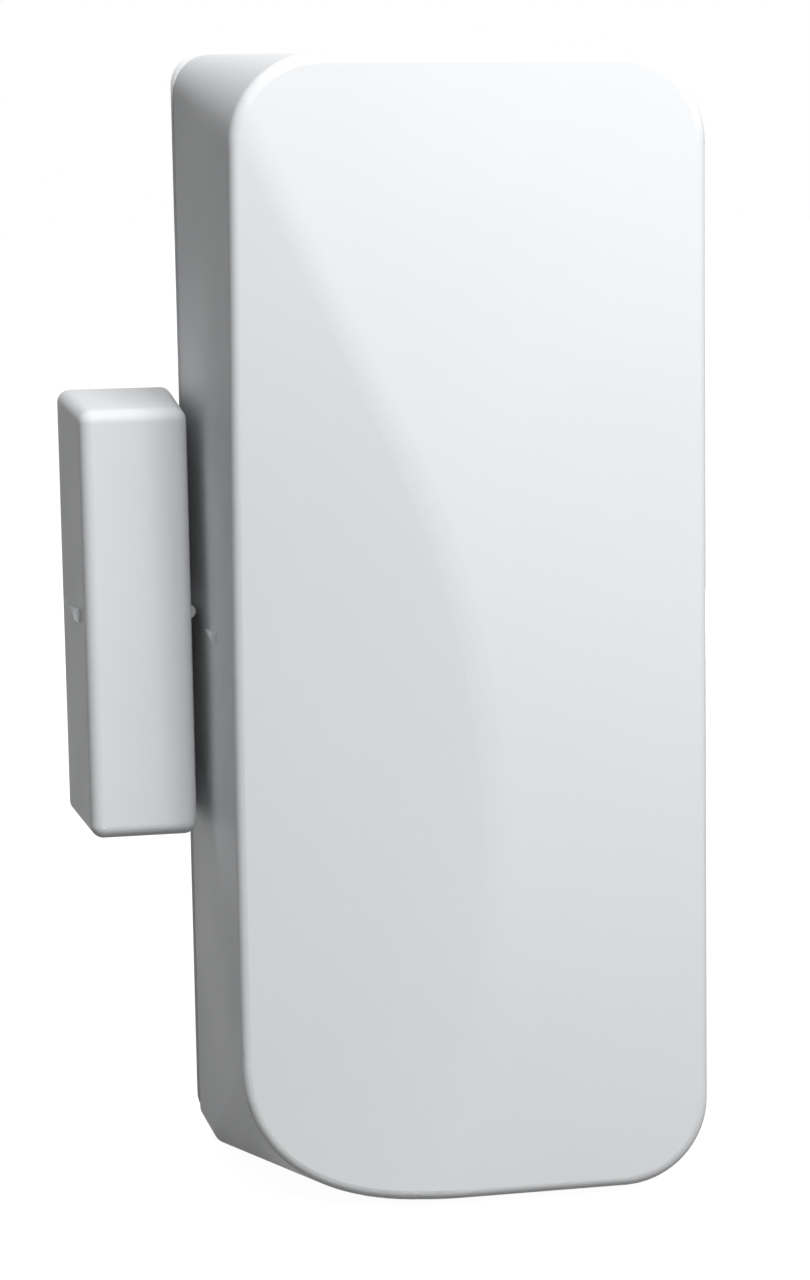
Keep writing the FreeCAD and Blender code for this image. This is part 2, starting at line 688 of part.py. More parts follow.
def tail_slot(z, start, end):
    """The slot for a contact's tail."""
    return block(about(CELL_X, CONTACT_WIDTH + 2 * TAIL_CLEARANCE), (start, end),
                 about(z, CONTACT_THICKNESS + 2 * TAIL_CLEARANCE))


def circuit_board():
    face = Part.Face(outline(BOARD_HALF_WIDTH, BOARD_HALF_HEIGHT, BOARD_BACK, [BOARD_CORNER] * 4))
    holes = [through_board(x, z, WALL_SCREW_HEAD + ACCESS_CLEARANCE) for x, z in WALL_SCREWS]
    holes += [through_board(x, z, FIXING_HOLE) for x, z in FIXINGS]
    holes.append(through_board(CABLE_X, CABLE_Z, CABLE_HOLE))
    holes += [through_board(REED_X, MARK_Z + level * REED_LEAD_END, REED_LEAD_RADIUS + LEAD_CLEARANCE)
              for level in (-1, 1)]
    holes += [through_board(side * ANTENNA_SIDE_X, ANTENNA_FOOT_Z, ANTENNA_RADIUS + LEAD_CLEARANCE)
              for side in (LEFT, RIGHT)]
    holes += [tail_slot(z, BOARD_BACK - PAST, BOARD_FRONT + PAST) for z in CONTACT_ENDS]
    return face.extrude(AHEAD * BOARD_THICKNESS).cut(holes)


def slotted_head(x, z, radius, start, end, slot_width):
    """A screw head with a straight slot."""
    slot = block(about(x, 3 * radius), (end - SLOT_DEPTH, end + PAST), about(z, slot_width))
    return stud(x, z, radius, start, end).cut(slot)


def board_screws():
    screws = []
    for x, z in FIXINGS:
        if z > 0:
            head = slotted_head(x, z, BOARD_SCREW_HEAD, BOARD_FRONT, BOARD_FRONT + BOARD_SCREW_HEAD_HEIGHT,
                                BOARD_SCREW_SLOT)
            shank = stud(x, z, PILOT_RADIUS - THREAD_CLEARANCE, BOARD_FRONT - BOARD_SCREW_LENGTH,
                         BOARD_FRONT)
            screws.append(head.fuse(shank))
    return Part.makeCompound(screws)


def battery_holder():
    """Cradle whose sides close a little over the cell, with a notch for a finger."""
    half, foot = HOLDER_HALF_WIDTH, HOLDER_HALF_WIDTH - HOLDER_CHAMFER
    top = CELL_FORWARD + HOLDER_RISE
    corners = [(-foot, BOARD_FRONT), (foot, BOARD_FRONT), (half, BOARD_FRONT + HOLDER_CHAMFER), (half, top),
               (-half, top), (-half, BOARD_FRONT + HOLDER_CHAMFER)]
    length = HOLDER_HIGH - HOLDER_LOW
    solid = extrude([at(CELL_X + x, forward, HOLDER_LOW) for x, forward in corners], UP * length)
    rounded = outline(half, length / 2, 0, [HOLDER_CORNER] * 4, CELL_X, HOLDER_LOW + length / 2)
    solid = solid.common(Part.Face(rounded).extrude(AHEAD * DEPTH))
    low, high = HOLDER_LOW + HOLDER_END, HOLDER_HIGH - HOLDER_END
    channel = Part.makeCylinder(CELL_RADIUS + CELL_GAP, high - low, at(CELL_X, CELL_FORWARD, low), UP)
    notch = block((CELL_X - half - PAST, CELL_X + half + PAST), (CELL_FORWARD, top + PAST),
                  about(CELL_MIDDLE, FINGER_NOTCH))
    slots = [tail_slot(z, BOARD_FRONT - PAST, CELL_FORWARD) for z in CONTACT_ENDS]
    return solid.cut([channel, notch] + slots)


def battery_cell():
    can_top = CELL_HIGH - CELL_BUTTON_HEIGHT
    profile = [(0, CELL_LOW), (CELL_RADIUS - CELL_EDGE, CELL_LOW), (CELL_RADIUS, CELL_LOW + CELL_EDGE),
               (CELL_RADIUS, can_top - CELL_EDGE),
               (CELL_RADIUS - CELL_EDGE, can_top), (CELL_BUTTON_RADIUS, can_top),
               (CELL_BUTTON_RADIUS, CELL_HIGH), (0, CELL_HIGH)]
    points = [at(CELL_X + radius, CELL_FORWARD, z) for radius, z in profile]
    half = Part.Face(Part.makePolygon(points + points[:1]))
    return half.revolve(at(CELL_X, CELL_FORWARD, 0), UP, 360)


def battery_contact_positive():
    return block(about(CELL_X, CONTACT_WIDTH), (TAIL_END, CELL_FORWARD + CONTACT_RISE),
                 (CELL_HIGH, CELL_HIGH + CONTACT_THICKNESS))


def battery_contact_negative():
    """Leaf spring folded over at the top; its bow presses on the cell's end."""
    upright = CONTACT_ENDS[0]
    top = CELL_FORWARD + CONTACT_RISE
    leaf = upright + CONTACT_STAND
    bow = CELL_LOW - CONTACT_TOUCH - CONTACT_THICKNESS / 2
    route = [(TAIL_END, upright), (top, upright), (top, leaf), (CELL_FORWARD, bow),
             (CELL_FORWARD - CONTACT_FOOT, leaf)]
    return strip_along([at(CELL_X, forward, z) for forward, z in route], CONTACT_WIDTH, CONTACT_THICKNESS,
                       CONTACT_BEND)


def reed_glass():
    """Sealed glass tube with a bore for the blades and a hole for the lead in each end."""
    low = MARK_Z - REED_GLASS_LENGTH / 2
    tube = Part.makeCylinder(REED_GLASS_RADIUS, REED_GLASS_LENGTH, at(REED_X, REED_FORWARD, low), UP)
    rims = edges_where(tube, lambda p: near(p.z, low) or near(p.z, low + REED_GLASS_LENGTH))
    tube = tube.makeChamfer(REED_GLASS_RADIUS / 2, rims)
    bore = Part.makeCylinder(REED_GLASS_RADIUS - REED_GLASS_WALL, REED_GLASS_LENGTH - 2 * REED_SEAL,
                             at(REED_X, REED_FORWARD, low + REED_SEAL), UP)
    lead = Part.makeCylinder(REED_LEAD_RADIUS + LEAD_CLEARANCE, REED_GLASS_LENGTH + 2 * PAST,
                             at(REED_X, REED_FORWARD, low - PAST), UP)
    return tube.cut([bore, lead])


def reed_lead(level, start):
    """Round lead that leaves one end of the glass and is bent down through the circuit board."""
    ends = [(REED_FORWARD, start), (REED_FORWARD, REED_LEAD_END), (TAIL_END, REED_LEAD_END)]
    points = [at(REED_X, forward, MARK_Z + level * z) for forward, z in ends]
    return wire_along(points, REED_LEAD_RADIUS, REED_BEND)


def reed_blade(level):
    """Flat blade inside the glass; the two overlap at the middle with the contact gap between them."""
    middle = REED_FORWARD + level * (REED_CONTACT_GAP + REED_BLADE_THICKNESS) / 2
    root = REED_BORE_HALF - REED_ROOT_GAP
    ends = sorted([MARK_Z - level * REED_BLADE_LAP / 2, MARK_Z + level * root])
    return block(about(REED_X, REED_BLADE_WIDTH), about(middle, REED_BLADE_THICKNESS), ends)


def push_switch(x, z, stem_radius, stem_length, travel, pressed):
    """A push switch: its case, and the plunger whose foot moves between two stops in the case."""
    top = BOARD_FRONT + SWITCH_HEIGHT
    lid = top - SWITCH_LID
    floor = lid - FOOT_HEIGHT - travel - 2 * REST_GAP
    case = Part.Face(outline(SWITCH_SIZE / 2, SWITCH_SIZE / 2, BOARD_FRONT, [SWITCH_CORNER] * 4, x, z))
    case = case.extrude(AHEAD * SWITCH_HEIGHT)
    room = FOOT_SIZE + 2 * STEM_CLEARANCE
    case = case.cut([block(about(x, room), (floor, lid), about(z, room)),
                     stud(x, z, stem_radius + STEM_CLEARANCE, floor, top + PAST)])
    foot_top = lid - REST_GAP - pressed
    foot = block(about(x, FOOT_SIZE), (foot_top - FOOT_HEIGHT, foot_top), about(z, FOOT_SIZE))
    stem = stud(x, z, stem_radius, foot_top - FOOT_HEIGHT, top + stem_length)
    tip = edges_where(stem, lambda p: near(p.y, -(top + stem_length)))
    return case, foot.fuse(stem.makeChamfer(EDGE_BREAK, tip))


def radio_shield():
    """Folded sheet can over the radio, open towards the board, with vent slots."""
    def can(inset):
        face = Part.Face(outline(SHIELD_WIDTH / 2 - inset, SHIELD_HEIGHT / 2 - inset, BOARD_FRONT,
                                 [SHIELD_CORNER] * 4, SHIELD_X, SHIELD_Z))
        return face.extrude(AHEAD * (SHIELD_DEPTH - inset))

    through_top = (BOARD_FRONT + SHIELD_DEPTH / 2, BOARD_FRONT + SHIELD_DEPTH + PAST)
    vents = [block(about(SHIELD_X, SHIELD_VENT_LENGTH), through_top,
                   about(SHIELD_Z + row * SHIELD_VENT_PITCH, SHIELD_VENT)) for row in (-1, 0, 1)]
    return can(0).cut([can(SHIELD_SHEET)] + vents)


def microcontroller():
    low = BOARD_FRONT + CHIP_STANDOFF
    body = block(about(CHIP_X, CHIP_SIZE), (low, low + CHIP_THICKNESS), about(CHIP_Z, CHIP_SIZE))
    top = low + CHIP_THICKNESS
    body = body.makeChamfer(EDGE_BREAK, edges_where(body, lambda p: near(p.y, -top)))
    corner = CHIP_SIZE / 2 - 3 * CHIP_NOTCH
    return body.cut(stud(CHIP_X - corner, CHIP_Z + corner, CHIP_NOTCH, top - CHIP_NOTCH / 2, top + PAST))


def microcontroller_pins():
    """Gull wing pins, a row on each of the four sides."""
    side = CHIP_X + CHIP_SIZE / 2
    waist = BOARD_FRONT + CHIP_STANDOFF + CHIP_THICKNESS / 2
    sheet, reach = CHIP_PIN_THICKNESS, CHIP_PIN_REACH
    profile = [(0, waist), (reach / 2, waist), (reach / 2, BOARD_FRONT + sheet),
               (reach, BOARD_FRONT + sheet), (reach, BOARD_FRONT), (reach / 2 - sheet, BOARD_FRONT),
               (reach / 2 - sheet, waist - sheet), (0, waist - sheet)]
    pins = []
    for n in range(CHIP_PINS):
        z = CHIP_Z + (n - (CHIP_PINS - 1) / 2) * CHIP_PIN_PITCH - CHIP_PIN_WIDTH / 2
        pin = extrude([at(side + out, forward, z) for out, forward in profile], UP * CHIP_PIN_WIDTH)
        for turn in range(4):
            copy = pin.copy()
            copy.rotate(at(CHIP_X, 0, CHIP_Z), AHEAD, 90 * turn)
            pins.append(copy)
    return Part.makeCompound(pins)


def crystal():
    def layer(grow, height):
        face = Part.Face(outline(CRYSTAL_LENGTH / 2 + grow, CRYSTAL_WIDTH / 2 + grow, BOARD_FRONT,
                                 [CRYSTAL_CORNER + grow] * 4, CRYSTAL_X, CRYSTAL_Z))
        return face.extrude(AHEAD * height)
    can = layer(0, CRYSTAL_HEIGHT)
    top = edges_where(can, lambda p: near(p.y, -BOARD_FRONT - CRYSTAL_HEIGHT))
    return can.makeChamfer(CRYSTAL_FLANGE, top).fuse(layer(CRYSTAL_FLANGE, CRYSTAL_FLANGE))


def electrolytic_capacitor():
    size = 2 * CAPACITOR_RADIUS
    top = BOARD_FRONT + CAPACITOR_HEIGHT
    base = block(about(CAPACITOR_X, size), (BOARD_FRONT, BOARD_FRONT + CAPACITOR_BASE),
                 about(CAPACITOR_Z, size))
    right = edges_where(base, lambda p: near(p.x, CAPACITOR_X + size / 2)
                        and near(abs(p.z - CAPACITOR_Z), size / 2))
    can = stud(CAPACITOR_X, CAPACITOR_Z, CAPACITOR_RADIUS - CAPACITOR_ROUND / 2, BOARD_FRONT, top)
    can = can.makeChamfer(CAPACITOR_ROUND, edges_where(can, lambda p: near(p.y, -top)))
    return base.makeChamfer(CAPACITOR_BASE, right).fuse(can)


def status_led():
    base = block(about(LED_X, LED_LENGTH), (BOARD_FRONT, BOARD_FRONT + LED_BASE), about(LED_Z, LED_WIDTH))
    top = BOARD_FRONT + LED_BASE + LED_DOME
    dome = stud(LED_X, LED_Z, LED_WIDTH / 2 - EDGE_BREAK, BOARD_FRONT + LED_BASE / 2, top)
    return base.fuse(dome.makeChamfer(LED_ROUND, edges_where(dome, lambda p: near(p.y, -top))))


def small_parts():
    """Ceramic bodies and their solder caps, in rows."""
    bodies, caps = [], []
    height = (BOARD_FRONT, BOARD_FRONT + SMALL_HEIGHT)
    body_length = SMALL_LENGTH - 2 * SMALL_CAP
    pair_z = TERMINAL_Z + (TERMINAL_LENGTH + SMALL_LENGTH) / 2 + SMALL_PAIR_GAP
    rows = ((SMALL_ROW_X, SMALL_ROW_Z, 4), (SMALL_PAIR_X, pair_z, 2), (SMALL_SINGLE_X, LED_Z, 1))
    for first_x, z, count in rows:
        for n in range(count):
            x = about(first_x + n * SMALL_PITCH, SMALL_WIDTH)
            bodies.append(block(x, height, about(z, body_length)))
            for level in (-1, 1):
                caps.append(block(x, height, about(z + level * (body_length + SMALL_CAP) / 2, SMALL_CAP)))
    return Part.makeCompound(bodies), Part.makeCompound(caps)


def terminal_block():
    """For each pole a wire entry in the upper side and a screw well from the front."""
    half, top = TERMINAL_LENGTH / 2, BOARD_FRONT + TERMINAL_HEIGHT
    width = TERMINAL_POLES * TERMINAL_PITCH
    corners = [(-half, BOARD_FRONT), (half, BOARD_FRONT), (half, top - TERMINAL_CHAMFER),
               (half - TERMINAL_CHAMFER, top), (-half, top)]
    body = extrude([at(TERMINAL_X - width / 2, forward, TERMINAL_Z + z) for z, forward in corners],
                   FreeCAD.Vector(width, 0, 0))
    room = CLAMP_SIZE + 2 * CLAMP_CLEARANCE
    room_top = CLAMP_HIGH + CLAMP_CLEARANCE
    entry = CLAMP_LOW + CLAMP_SHEET
    removed = []
    for x in POLES:
        removed += [block(about(x, room), (CLAMP_LOW, room_top), about(TERMINAL_Z, room)),
                    stud(x, TERMINAL_Z, TERMINAL_WELL, CLAMP_HIGH, top + PAST),
                    block(about(x, WIRE_ENTRY), (entry, entry + WIRE_ENTRY),
                          (TERMINAL_Z, TERMINAL_Z + half + PAST))]
    return body.cut(removed)


def terminal_clamps():
    """Cages open towards the wire entries."""
    cages = []
    for x in POLES:
        cage = block(about(x, CLAMP_SIZE), (CLAMP_LOW, CLAMP_HIGH), about(TERMINAL_Z, CLAMP_SIZE))
        opening = block(about(x, CLAMP_SIZE - 2 * CLAMP_SHEET),
                        (CLAMP_LOW + CLAMP_SHEET, CLAMP_HIGH - CLAMP_SHEET),
                        about(TERMINAL_Z, CLAMP_SIZE + 2 * PAST))
        cages.append(cage.cut(opening))
    return Part.makeCompound(cages)


def terminal_screws():
    return Part.makeCompound([slotted_head(x, TERMINAL_Z, TERMINAL_SCREW_RADIUS, CLAMP_HIGH,
                                           CLAMP_HIGH + TERMINAL_SCREW_HEIGHT, TERMINAL_SCREW_SLOT)
                              for x in POLES])


def antenna_wire():
    """Stiff wire that rises from the board, runs round its upper edge and goes back into it."""
    forward, top, side = BOARD_FRONT + ANTENNA_HEIGHT, ANTENNA_TOP, ANTENNA_SIDE_X
    route = [(side, TAIL_END, ANTENNA_FOOT_Z), (side, forward, ANTENNA_FOOT_Z), (side, forward, top),
             (-side, forward, top), (-side, forward, ANTENNA_FOOT_Z), (-side, TAIL_END, ANTENNA_FOOT_Z)]
    return wire_along([at(*place) for place in route], ANTENNA_RADIUS, ANTENNA_BEND)


def magnet_half_width(forward):
    return MAGNET_WIDTH / 2 - MAGNET_SIDE_INSET * forward / MAGNET_DEPTH


def magnet_corners(forward, inset):
    """The corners of the magnet block's outline before they are rounded."""
    share = forward / MAGNET_DEPTH
    top = MAGNET_Z + MAGNET_HEIGHT / 2 - MAGNET_TOP_INSET * share - inset
    bottom = MAGNET_Z - MAGNET_HEIGHT / 2 + MAGNET_BOTTOM_INSET * share + inset
    return corner_points(magnet_half_width(forward) - inset, top, bottom, forward, MAGNET_X)


def magnet_cover():
    outer = drafted(magnet_corners, MAGNET_RIM_GAP, MAGNET_DEPTH, 0)
    front = edges_where(outer, lambda p: near(p.y, -MAGNET_DEPTH))
    outer = outer.makeFillet(MAGNET_ROUND, side_edges(outer) + front)
    hollow = drafted(magnet_corners, MAGNET_RIM_GAP, MAGNET_DEPTH - MAGNET_WALL, MAGNET_WALL)
    marks = []
    for side in (LEFT, RIGHT):
        rib = mark(lambda f: MAGNET_X + side * magnet_half_width(f), MAGNET_MARK_Z, MAGNET_MARK_BACK,
                   MAGNET_MARK_LENGTH, MAGNET_MARK_RADIUS)
        marks.append(rib.cut(hollow))
    return fuse_all(outer.cut(hollow), marks)


def magnet_base():
    """Plate inside the magnet's cover, with screw holes and a frame round the bar magnet."""
    inset = MAGNET_WALL + MAGNET_BASE_CLEARANCE
    plate = drafted(magnet_corners, 0, MAGNET_BASE_THICKNESS, inset)
    height = (MAGNET_BASE_THICKNESS / 2, MAGNET_BASE_THICKNESS + BAR_STOP_HEIGHT)
    room_x, room_z = BAR_WIDTH + 2 * BAR_GAP, BAR_LENGTH + 2 * BAR_GAP
    frame = block(about(MAGNET_X, room_x + 2 * BAR_STOP_WALL), height,
                  about(MAGNET_Z, room_z + 2 * BAR_STOP_WALL))
    room = block(about(MAGNET_X, room_x), (MAGNET_BASE_THICKNESS, MAGNET_DEPTH), about(MAGNET_Z, room_z))
    holes = []
    for level in (-1, 1):
        holes += countersunk(MAGNET_X, MAGNET_Z + level * MAGNET_SCREW_SPACING / 2, MAGNET_SCREW_HOLE,
                             MAGNET_SCREW_HEAD, MAGNET_BASE_THICKNESS)
    return fuse_all(plate, [frame]).cut([room] + holes)


def bar_magnet():
    bar = block(about(MAGNET_X, BAR_WIDTH), (MAGNET_BASE_THICKNESS, MAGNET_BASE_THICKNESS + BAR_DEPTH),
                about(MAGNET_Z, BAR_LENGTH))
    return bar.makeChamfer(BAR_EDGE, bar.Edges)


tamper_case, tamper_plunger = push_switch(TAMPER_X, TAMPER_Z, TAMPER_STEM_RADIUS, TAMPER_STEM_LENGTH,
                                          TAMPER_TRAVEL, TAMPER_TRAVEL)
learn_case, learn_button = push_switch(LEARN_X, LEARN_Z, LEARN_STEM_RADIUS, LEARN_STEM_LENGTH,
                                       LEARN_TRAVEL, 0)
ceramic_parts, ceramic_caps = small_parts()

NODES = {
    "base_plate": base_plate(),
    "front_cover": front_cover(),
    "circuit_board": circuit_board(),
    "board_screws": board_screws(),
    "battery_holder": battery_holder(),
    "battery_cell": battery_cell(),
    "battery_contact_positive": battery_contact_positive(),
    "battery_contact_negative": battery_contact_negative(),
    "reed_glass": reed_glass(),
    "reed_fixed_blade": reed_lead(-1, REED_BORE_HALF - REED_BLADE_LAP).fuse(reed_blade(-1)),
    "reed_moving_blade": reed_blade(1),
    "reed_upper_lead": reed_lead(1, REED_BORE_HALF),
    "tamper_switch_case": tamper_case,
    "tamper_plunger": tamper_plunger,
    "learn_switch_case": learn_case,
    "learn_button": learn_button,
    "radio_shield": radio_shield(),
    "microcontroller": microcontroller(),
    "microcontroller_pins": microcontroller_pins(),
    "crystal": crystal(),
    "electrolytic_capacitor": electrolytic_capacitor(),
    "status_led": status_led(),
    "ceramic_parts": ceramic_parts,
    "ceramic_caps": ceramic_caps,
    "terminal_block": terminal_block(),
    "terminal_clamps": terminal_clamps(),
    "terminal_screws": terminal_screws(),
    "antenna_wire": antenna_wire(),
    "magnet_base": magnet_base(),
    "magnet_cover": magnet_cover(),
    "bar_magnet": bar_magnet(),
}

os.makedirs("parts", exist_ok=True)
for name, shape in NODES.items():
    if not shape.isValid():
        raise ValueError(name + " isn't a valid solid")
    shape.exportStep("parts/" + name + ".step")
    print(name, len(shape.Solids), round(shape.Volume, 2))
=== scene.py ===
import bpy
import json
import math
from mathutils import Matrix, Vector


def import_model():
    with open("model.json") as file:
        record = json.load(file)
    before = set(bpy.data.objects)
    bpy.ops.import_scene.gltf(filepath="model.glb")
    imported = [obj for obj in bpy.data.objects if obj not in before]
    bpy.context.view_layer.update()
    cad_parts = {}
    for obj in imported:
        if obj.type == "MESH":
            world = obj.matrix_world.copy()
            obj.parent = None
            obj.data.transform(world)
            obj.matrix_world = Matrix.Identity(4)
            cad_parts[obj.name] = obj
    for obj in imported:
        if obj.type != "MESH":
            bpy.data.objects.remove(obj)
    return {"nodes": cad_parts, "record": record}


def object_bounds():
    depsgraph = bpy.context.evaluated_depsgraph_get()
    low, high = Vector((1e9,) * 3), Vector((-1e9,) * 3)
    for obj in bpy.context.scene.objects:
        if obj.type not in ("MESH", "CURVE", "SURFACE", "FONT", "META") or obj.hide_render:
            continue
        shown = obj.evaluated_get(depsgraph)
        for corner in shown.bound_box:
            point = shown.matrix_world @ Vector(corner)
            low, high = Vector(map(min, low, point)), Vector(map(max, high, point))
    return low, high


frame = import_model()
cad_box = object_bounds()
scene = bpy.context.scene
MM = 0.001


# Shader steps

NOISE_LOW = 0.3
NOISE_HIGH = 0.7
TINT_START = 0.35
TINT_END = 0.65
BAND_RADIANS = 20


def new_material(name):
    """A material, its node tree and its shader."""
    material = bpy.data.materials.new(name)
    material.use_nodes = True
    return material, material.node_tree, material.node_tree.nodes["Principled BSDF"]


def object_place(tree):
    """Each point's place on its own object."""
    return tree.nodes.new("ShaderNodeTexCoord").outputs["Object"]


def object_noise(tree, scale, detail=2.0, stretch=(1, 1, 1)):
    """Noise that sticks to the object; the scale is in turns per metre."""
    mapping = tree.nodes.new("ShaderNodeMapping")
    mapping.inputs["Scale"].default_value = stretch
    noise = tree.nodes.new("ShaderNodeTexNoise")
    noise.inputs["Scale"].default_value = scale
    noise.inputs["Detail"].default_value = detail
    tree.links.new(object_place(tree), mapping.inputs["Vector"])
    tree.links.new(mapping.outputs["Vector"], noise.inputs["Vector"])
    return noise.outputs["Fac"]


def map_range(tree, source, start, end, low, high):
    """A value that runs from low to high while the source runs from start to end."""
    span = tree.nodes.new("ShaderNodeMapRange")
    span.inputs["From Min"].default_value = start
    span.inputs["From Max"].default_value = end
    span.inputs["To Min"].default_value = low
    span.inputs["To Max"].default_value = high
    tree.links.new(source, span.inputs["Value"])
    return span.outputs["Result"]


def spread(tree, noise, low, high):
    """A value that runs from low to high with the middle of a noise."""
    return map_range(tree, noise, NOISE_LOW, NOISE_HIGH, low, high)


def tint(tree, source, dark, light):
    """A colour between two that follows a value."""
    ramp = tree.nodes.new("ShaderNodeValToRGB")
    ramp.color_ramp.elements[0].position = TINT_START
    ramp.color_ramp.elements[1].position = TINT_END
    ramp.color_ramp.elements[0].color = (*dark, 1)
    ramp.color_ramp.elements[1].color = (*light, 1)
    tree.links.new(source, ramp.inputs["Fac"])
    return ramp.outputs["Color"]


def shade(colour, factor):
    """The colour made darker or lighter, with no channel past 1."""
    return tuple(min(1.0, channel * factor) for channel in colour)


def mottled(tree, noise, colour, mottle):
    """A colour that grows darker and lighter by the share that mottle gives."""
    return tint(tree, noise, shade(colour, 1 - mottle), shade(colour, 1 + mottle))


def bump(tree, shader, source, strength, depth):
    """Relief in the shading alone; the depth is in metres."""
    node = tree.nodes.new("ShaderNodeBump")
    node.inputs["Strength"].default_value = strength
    node.inputs["Distance"].default_value = depth
    tree.links.new(source, node.inputs["Height"])
    tree.links.new(node.outputs["Normal"], shader.inputs["Normal"])


def calculate(tree, operation, *values):
    """One step of arithmetic on sockets and plain numbers."""
    node = tree.nodes.new("ShaderNodeMath")
    node.operation = operation
    for socket, value in zip(node.inputs, values):
        if isinstance(value, bpy.types.NodeSocket):
            tree.links.new(value, socket)
        else:
            socket.default_value = value
    return node.outputs[0]


def vector_length(tree, source):
    """The length of a vector, or how far a place is from its origin."""
    node = tree.nodes.new("ShaderNodeVectorMath")
    node.operation = "LENGTH"
    tree.links.new(source, node.inputs[0])
    return node.outputs["Value"]


def wave_bands(tree, direction, pitch):
    """Stripes across one axis, as far apart as the pitch in metres.

    At scale 1 Blender's bands run through BAND_RADIANS in a metre.
    """
    wave = tree.nodes.new("ShaderNodeTexWave")
    wave.bands_direction = direction
    wave.inputs["Scale"].default_value = 2 * math.pi / (BAND_RADIANS * pitch)
    tree.links.new(object_place(tree), wave.inputs["Vector"])
    return wave.outputs["Fac"]


# Materials

MOULDED = {
    "shell_white": dict(colour=(0.86, 0.87, 0.88), roughness=0.50, mottle=0.006, gloss=0.10),
    "holder_black": dict(colour=(0.035, 0.035, 0.038), roughness=0.50,
                         grain=0.4 * MM, depth=0.02 * MM, mottle=0.1),
    "switch_black": dict(colour=(0.04, 0.04, 0.045), roughness=0.35,
                         grain=0.4 * MM, depth=0.01 * MM, mottle=0.1),
    "plunger_white": dict(colour=(0.80, 0.79, 0.75), roughness=0.40),
    "button_red": dict(colour=(0.55, 0.05, 0.04), roughness=0.30,
                       grain=0.4 * MM, depth=0.01 * MM, mottle=0.05),
    "chip_black": dict(colour=(0.05, 0.05, 0.055), roughness=0.60,
                       grain=0.2 * MM, depth=0.02 * MM, mottle=0.1),
    "led_lens": dict(colour=(0.75, 0.10, 0.07), roughness=0.15,
                     grain=1.0 * MM, depth=0.002 * MM, mottle=0.03),
    "ceramic_tan": dict(colour=(0.50, 0.38, 0.26), roughness=0.45,
                        grain=0.2 * MM, depth=0.01 * MM, mottle=0.1),
    "terminal_blue": dict(colour=(0.06, 0.20, 0.42), roughness=0.30,
                          grain=0.4 * MM, depth=0.01 * MM, mottle=0.05),
}
METAL = {
    "screw_zinc": dict(colour=(0.72, 0.72, 0.70), roughness=0.32),
    "contact_nickel": dict(colour=(0.74, 0.73, 0.69), roughness=0.25, stretch=(1, 8, 8)),
    "reed_alloy": dict(colour=(0.66, 0.65, 0.62), roughness=0.28),
    "shield_tin": dict(colour=(0.78, 0.78, 0.77), roughness=0.30, stretch=(8, 1, 1)),
    "pin_tin": dict(colour=(0.80, 0.80, 0.79), roughness=0.25),
    "crystal_steel": dict(colour=(0.76, 0.76, 0.75), roughness=0.20),
    "capacitor_can": dict(colour=(0.78, 0.79, 0.80), roughness=0.25),
    "cap_solder": dict(colour=(0.78, 0.78, 0.76), roughness=0.25),
    "clamp_brass": dict(colour=(0.78, 0.62, 0.32), roughness=0.30),
    "antenna_copper": dict(colour=(0.76, 0.44, 0.28), roughness=0.25),
    "magnet_nickel": dict(colour=(0.70, 0.70, 0.70), roughness=0.12),
}
MOULDED_WEAR = 0.04
METAL_WEAR = 0.07
METAL_MOTTLE = 0.06
METAL_RELIEF = 0.005 * MM

GLASS_TINT = (0.80, 0.92, 0.86)

MASK_GREEN = (0.014, 0.15, 0.06)
TRACK_GREEN = (0.03, 0.24, 0.10)
TRACK_PATCH = 6 * MM
TRACK_PITCH = 1.1 * MM
TRACK_RELIEF = 0.03 * MM
LEVEL_SHARE = 0.5
PLAIN_SHARE = 0.3

SLEEVE_BLUE = (0.10, 0.18, 0.40)
BARE_STEEL = (0.72, 0.72, 0.70)
SLEEVE_LAP = 1.4 * MM
SLEEVE_WRINKLE = 0.01 * MM


def moulded(name, colour, roughness, grain=0.35 * MM, depth=0.01 * MM, mottle=0.02, gloss=0.5):
    """Moulded plastic: a fine spark-eroded grain, with the slightest change of tone."""
    material, tree, shader = new_material(name)
    shader.inputs["Specular IOR Level"].default_value = gloss
    tone = object_noise(tree, scale=90.0, detail=3.0)
    fine = object_noise(tree, scale=1 / grain)
    tree.links.new(mottled(tree, tone, colour, mottle), shader.inputs["Base Color"])
    worn = spread(tree, tone, roughness - MOULDED_WEAR, roughness + MOULDED_WEAR)
    tree.links.new(worn, shader.inputs["Roughness"])
    bump(tree, shader, fine, strength=0.5, depth=depth)
    return material


def metal(name, colour, roughness, stretch=(1, 1, 1)):
    """Plated or drawn metal with faint lines along its working direction."""
    material, tree, shader = new_material(name)
    shader.inputs["Metallic"].default_value = 1.0
    lines = object_noise(tree, scale=2500.0, detail=3.0, stretch=stretch)
    tone = object_noise(tree, scale=300.0)
    tree.links.new(mottled(tree, tone, colour, METAL_MOTTLE), shader.inputs["Base Color"])
    drawn = spread(tree, lines, roughness - METAL_WEAR, roughness + METAL_WEAR)
    tree.links.new(drawn, shader.inputs["Roughness"])
    bump(tree, shader, lines, strength=0.3, depth=METAL_RELIEF)
    return material


def glass():
    """The reed switch's tube, with slightly uneven walls."""
    material, tree, shader = new_material("reed_glass")
    shader.inputs["Base Color"].default_value = (*GLASS_TINT, 1)
    shader.inputs["Transmission Weight"].default_value = 1.0
    shader.inputs["IOR"].default_value = 1.5
    wave = object_noise(tree, scale=400.0)
    tree.links.new(spread(tree, wave, low=0.02, high=0.08), shader.inputs["Roughness"])
    return material


